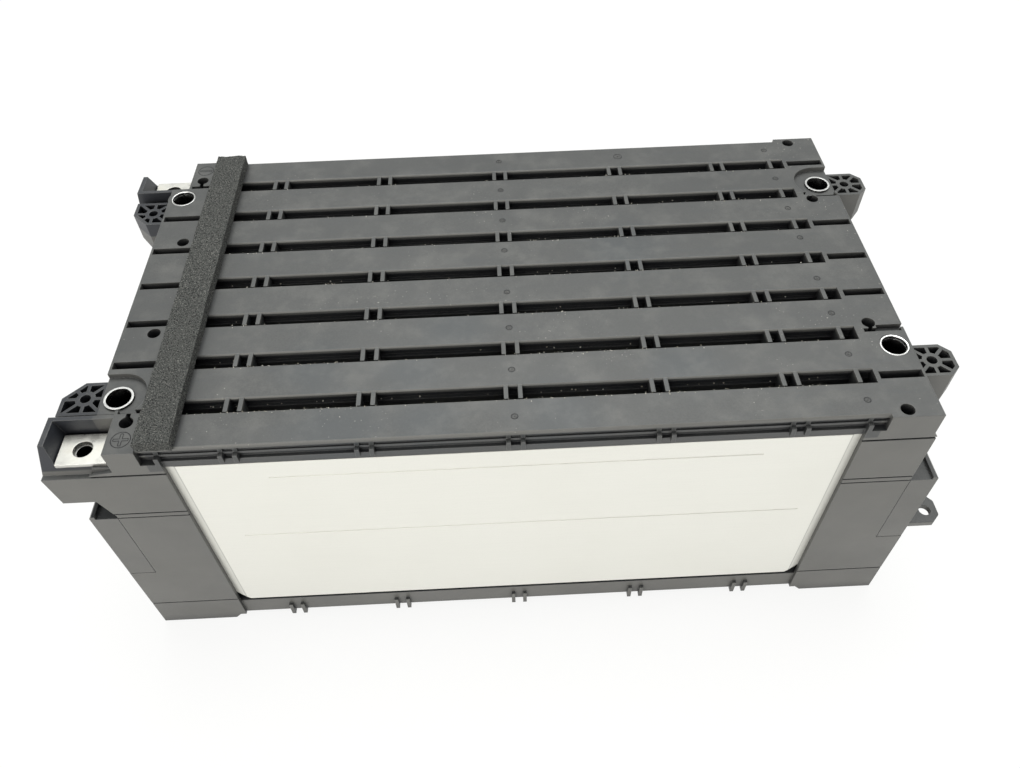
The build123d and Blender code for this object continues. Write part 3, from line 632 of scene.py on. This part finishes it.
# --- Grit in the air slots ---------------------------------------------------------------------
# Sand and crumbs in loose clusters: most lie on the slats along their rear rims, the rest has
# dropped through the slots on to the ledges below.
random.seed(7)
pitch = 0.0256
rim_reach = 0.0092
ledge_z = slat_top - 0.0058
grit_bm = bmesh.new()
for grain in range(420):
    slot_y = pitch * random.choice((-3, -3, -3, -2, -2, -1, 0, 1, 2, 3))
    on_rim = random.random() < 0.8
    if on_rim:
        radius = random.uniform(0.00010, 0.00026)
        y = slot_y + rim_reach - pitch / 2 - abs(random.gauss(0.0002, 0.0007))
        rest_z = slat_top
    else:
        radius = random.uniform(0.00018, 0.00045)
        y = slot_y + random.uniform(0.0036, 0.0050)
        rest_z = ledge_z
    cluster = random.choice((-0.12, -0.09, 0.02, 0.06, 0.12))
    in_cluster = random.random() < 0.5
    x = mid_x + (random.gauss(cluster, 0.012) if in_cluster else random.uniform(-0.138, 0.145))
    made = bmesh.ops.create_icosphere(grit_bm, subdivisions=1, radius=radius)
    for vertex in made["verts"]:
        vertex.co *= 1.0 + 0.45 * noise.noise(vertex.co * 4000.0 + Vector((grain, 0, 0)))
        vertex.co.z *= 0.7
        vertex.co += Vector((x, y, rest_z + radius * 0.5))

grit_material, grit_tree, grit_shader, grit_place = new_material("dry_grit")
grit_tone = ramp(grit_tree, noise_at(grit_tree, grit_place, 300.0, 2.0, 0.6), 0.4, 0.6)
grit_tree.links.new(blend_colours(grit_tree, grit_tone, (0.42, 0.39, 0.32), (0.72, 0.70, 0.62)),
                    grit_shader.inputs["Base Color"])
grit_shader.inputs["Roughness"].default_value = 0.9
grit = new_piece("slot_grit", grit_bm, grit_material)
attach(grit, "root")

# --- Floor, backdrop and light -----------------------------------------------------------------
# A white table that keeps a soft shadow, a broad lamp overhead, a fainter one in front and even
# white surroundings.
floor_half = 4
floor_corners = [(x * floor_half, y * floor_half, 0) for x, y in ((-1, -1), (1, -1), (1, 1), (-1, 1))]
floor_mesh = bpy.data.meshes.new("floor")
floor_mesh.from_pydata(floor_corners, [], [(0, 1, 2, 3)])
floor_material = bpy.data.materials.new("white_table")
floor_material.use_nodes = True
floor_tree = floor_material.node_tree
floor_shader = floor_tree.nodes["Principled BSDF"]
floor_shader.inputs["Base Color"].default_value = (0.9, 0.9, 0.89, 1.0)
floor_shader.inputs["Roughness"].default_value = 0.8
floor_glow = add(floor_tree, "ShaderNodeEmission", color=(1.0, 1.0, 0.995, 1.0), strength=1.0)
floor_rays = floor_tree.nodes.new("ShaderNodeLightPath")
floor_mix = floor_tree.nodes.new("ShaderNodeMixShader")
seen = combine(floor_tree, "MAXIMUM", floor_rays.outputs["Is Camera Ray"],
               floor_rays.outputs["Is Glossy Ray"])
floor_tree.links.new(combine(floor_tree, "MULTIPLY", seen, 0.86), floor_mix.inputs["Fac"])
floor_tree.links.new(floor_shader.outputs["BSDF"], floor_mix.inputs[1])
floor_tree.links.new(floor_glow.outputs["Emission"], floor_mix.inputs[2])
floor_tree.links.new(floor_mix.outputs["Shader"], floor_tree.nodes["Material Output"].inputs["Surface"])
floor_mesh.materials.append(floor_material)
floor = bpy.data.objects.new("floor", floor_mesh)
bpy.context.collection.objects.link(floor)

world = bpy.data.worlds.new("surroundings")
world.use_nodes = True
bpy.context.scene.world = world
world_tree = world.node_tree
world_light = world_tree.nodes["Background"]
world_light.inputs["Color"].default_value = (0.985, 1.0, 0.985, 1.0)
world_light.inputs["Strength"].default_value = 0.55
world_seen = add(world_tree, "ShaderNodeBackground", color=(1.0, 1.0, 1.0, 1.0), strength=1.0)
world_rays = world_tree.nodes.new("ShaderNodeLightPath")
world_mix = world_tree.nodes.new("ShaderNodeMixShader")
world_tree.links.new(world_rays.outputs["Is Camera Ray"], world_mix.inputs["Fac"])
world_tree.links.new(world_light.outputs["Background"], world_mix.inputs[1])
world_tree.links.new(world_seen.outputs["Background"], world_mix.inputs[2])
world_tree.links.new(world_mix.outputs["Shader"], world_tree.nodes["World Output"].inputs["Surface"])


def lamp(name, place, target, size, power, colour):
    """A square soft lamp that shines from place to target."""
    data = bpy.data.lights.new(name, "AREA")
    data.shape = "RECTANGLE"
    data.size, data.size_y = size
    data.energy = power
    data.color = colour
    made = bpy.data.objects.new(name, data)
    made.location = place
    made.rotation_euler = (Vector(target) - Vector(place)).to_track_quat("-Z", "Y").to_euler()
    bpy.context.collection.objects.link(made)


lamp("overhead_lamp", (0.1, 0.5, 1.5), (0, 0, 0.1), (1.6, 1.2), 24.0, (0.99, 1.0, 0.975))
lamp("front_fill", (-0.5, -1.4, 0.8), (0, 0, 0.1), (1.2, 0.8), 13.0, (1.0, 0.975, 0.93))

bpy.context.scene.view_settings.view_transform = "Standard"
